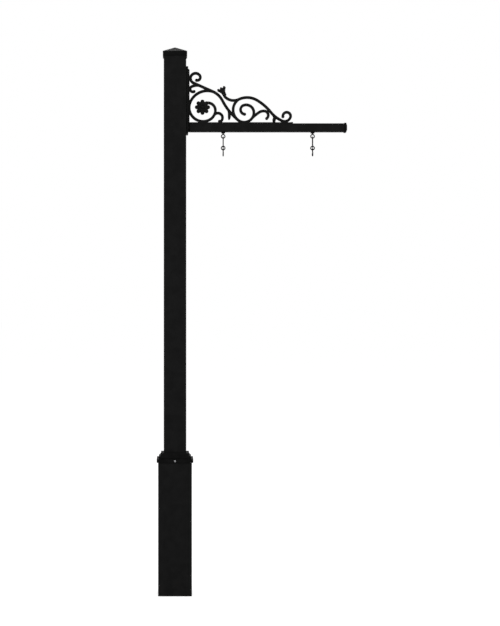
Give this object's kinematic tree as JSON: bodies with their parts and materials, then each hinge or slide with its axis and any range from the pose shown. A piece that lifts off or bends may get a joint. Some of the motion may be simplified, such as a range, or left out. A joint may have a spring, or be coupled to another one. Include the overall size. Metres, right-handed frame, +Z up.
{
  "type": "hanging sign post",
  "caption": "Square post in a wider base sleeve with a scrolled side arm that holds hanging links with open hooks for a sign board.",
  "frame": {"origin": "centre of the post's foot, at ground level", "axes": "+Z up the post, +X along the arm, +Y away from the side that faces the viewer"},
  "size_m": [0.8642, 0.1692, 2.482],
  "materials": {
    "black_powder_coat": "semi-matt black powder coat",
    "black_wire": "black coated wire, slightly glossier, rubbed where it hangs",
    "zinc_screw": "bright zinc"
  },
  "bodies": {
    "post": {"main_post": "black_powder_coat", "post_cap": "black_powder_coat", "base_sleeve": "black_powder_coat", "collar_skirt": "black_powder_coat", "collar_tier": "black_powder_coat", "collar_screws": "zinc_screw", "wall_plate": "black_powder_coat", "upright_bar": "black_powder_coat", "plate_bolts": "black_powder_coat", "arm_tube": "black_powder_coat", "arm_end_cap": "black_powder_coat", "scroll_rail": "black_powder_coat", "long_diagonal_scroll": "black_powder_coat", "plate_hook_scroll": "black_powder_coat", "rosette_scroll": "black_powder_coat", "rosette_flower": "black_powder_coat", "rosette_tendril": "black_powder_coat", "hanging_leaf": "black_powder_coat", "inner_volute": "black_powder_coat", "arch_scroll": "black_powder_coat", "tulip_bud": "black_powder_coat", "arch_tendril": "black_powder_coat", "rail_spur": "black_powder_coat", "inner_eye_bolt": "black_wire", "inner_nut": "black_wire", "outer_eye_bolt": "black_wire", "outer_nut": "black_wire"},
    "inner_link": {"inner_link": "black_wire"},
    "inner_ring": {"inner_ring": "black_wire"},
    "inner_hook": {"inner_hook": "black_wire"},
    "outer_link": {"outer_link": "black_wire"},
    "outer_ring": {"outer_ring": "black_wire"},
    "outer_hook": {"outer_hook": "black_wire"}
  },
  "joints": [
    {"name": "inner_link_swing", "type": "hinge", "parent": "post", "child": "inner_link", "pos_m": [0.219, 0, 2.0702], "axis": [1, 0, 0], "range_deg": [-60, 60]},
    {"name": "inner_ring_swing", "type": "hinge", "parent": "inner_link", "child": "inner_ring", "pos_m": [0.219, 0, 2.0332], "axis": [1, 0, 0], "range_deg": [-45, 45]},
    {"name": "inner_hook_swing", "type": "hinge", "parent": "inner_ring", "child": "inner_hook", "pos_m": [0.219, 0, 2.0168], "axis": [1, 0, 0], "range_deg": [-45, 45]},
    {"name": "outer_link_swing", "type": "hinge", "parent": "post", "child": "outer_link", "pos_m": [0.6254, 0, 2.0702], "axis": [1, 0, 0], "range_deg": [-60, 60]},
    {"name": "outer_ring_swing", "type": "hinge", "parent": "outer_link", "child": "outer_ring", "pos_m": [0.6254, 0, 2.0332], "axis": [1, 0, 0], "range_deg": [-45, 45]},
    {"name": "outer_hook_swing", "type": "hinge", "parent": "outer_ring", "child": "outer_hook", "pos_m": [0.6254, 0, 2.0168], "axis": [1, 0, 0], "range_deg": [-45, 45]}
  ]
}
